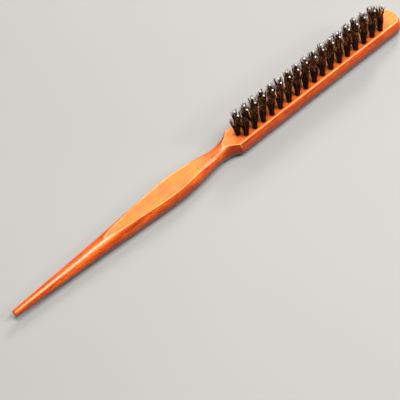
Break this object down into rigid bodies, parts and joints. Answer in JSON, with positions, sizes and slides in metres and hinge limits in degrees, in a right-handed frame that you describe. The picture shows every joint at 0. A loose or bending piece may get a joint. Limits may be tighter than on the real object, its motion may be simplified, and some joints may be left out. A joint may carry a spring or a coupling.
{
  "type": "rat tail teasing brush",
  "caption": "Slim wooden hair-teasing brush: turned rat-tail handle, narrow flat head, staggered rows of bristle tufts with ball-tipped pins.",
  "frame": {"origin": "middle of the bounding box's bottom, on the flat back of the head and belly that lies on Z = 0", "axes": "+X along the length from the tail's tip to the head's nose, +Z the way the bristles stand, +Y to the left when looking from the tail towards the nose with the bristles up"},
  "size_m": [0.236, 0.0136, 0.0209],
  "materials": {
    "wood": "clear orange-brown lacquer, glossy, over close straight grain",
    "bristle": "near-black to dark brown fine bristle, satin",
    "anchor_wire": "flat drawn wire, dull",
    "pin": "pale polished nylon ball on a dark shank"
  },
  "bodies": {
    "root": {"wooden_body": "wood", "tuft_right_01": "bristle", "tuft_right_02": "bristle", "tuft_right_03": "bristle", "tuft_right_04": "bristle", "tuft_right_05": "bristle", "tuft_right_06": "bristle", "tuft_right_07": "bristle", "tuft_right_08": "bristle", "tuft_right_09": "bristle", "tuft_right_10": "bristle", "tuft_right_11": "bristle", "tuft_right_12": "bristle", "tuft_right_13": "bristle", "tuft_right_14": "bristle", "tuft_right_15": "bristle", "tuft_right_16": "bristle", "tuft_right_17": "bristle", "tuft_centre_01": "bristle", "tuft_centre_02": "bristle", "tuft_centre_03": "bristle", "tuft_centre_04": "bristle", "tuft_centre_05": "bristle", "tuft_centre_06": "bristle", "tuft_centre_07": "bristle", "tuft_centre_08": "bristle", "tuft_centre_09": "bristle", "tuft_centre_10": "bristle", "tuft_centre_11": "bristle", "tuft_centre_12": "bristle", "tuft_centre_13": "bristle", "tuft_centre_14": "bristle", "tuft_centre_15": "bristle", "tuft_centre_16": "bristle", "tuft_centre_17": "bristle", "tuft_centre_18": "bristle", "tuft_left_01": "bristle", "tuft_left_02": "bristle", "tuft_left_03": "bristle", "tuft_left_04": "bristle", "tuft_left_05": "bristle", "tuft_left_06": "bristle", "tuft_left_07": "bristle", "tuft_left_08": "bristle", "tuft_left_09": "bristle", "tuft_left_10": "bristle", "tuft_left_11": "bristle", "tuft_left_12": "bristle", "tuft_left_13": "bristle", "tuft_left_14": "bristle", "tuft_left_15": "bristle", "tuft_left_16": "bristle", "tuft_left_17": "bristle", "anchors_right": "anchor_wire", "anchors_centre": "anchor_wire", "anchors_left": "anchor_wire", "ball_pins_centre": "pin", "ball_pins_left": "pin"}
  },
  "joints": []
}
